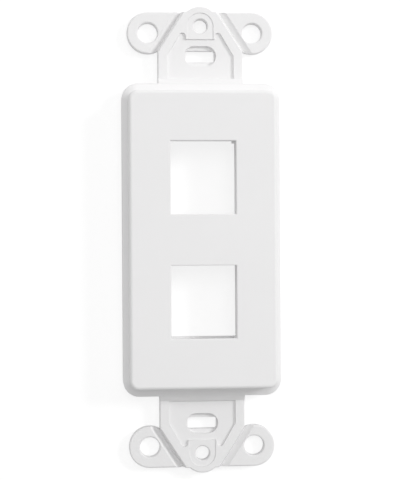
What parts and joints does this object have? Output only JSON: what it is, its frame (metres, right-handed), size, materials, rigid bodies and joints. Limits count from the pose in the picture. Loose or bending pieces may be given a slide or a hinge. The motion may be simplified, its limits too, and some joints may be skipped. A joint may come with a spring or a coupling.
{
  "type": "two-port decorator keystone insert",
  "caption": "One-piece moulded plastic insert that fills a decorator wall plate's window and holds two keystone jacks, with slotted strap ends and break-off ears",
  "frame": {"origin": "the middle of the two box-screw slots, on the wall plane that the strap's back lies against", "axes": "+X to the right as seen from the front, -Y out of the face towards the room, +Z along the length, up on the wall"},
  "size_m": [0.0358, 0.0095, 0.1056],
  "materials": {
    "white_plastic": "moulded, satin"
  },
  "bodies": {
    "root": {"decorator_insert": "white_plastic"}
  },
  "joints": []
}
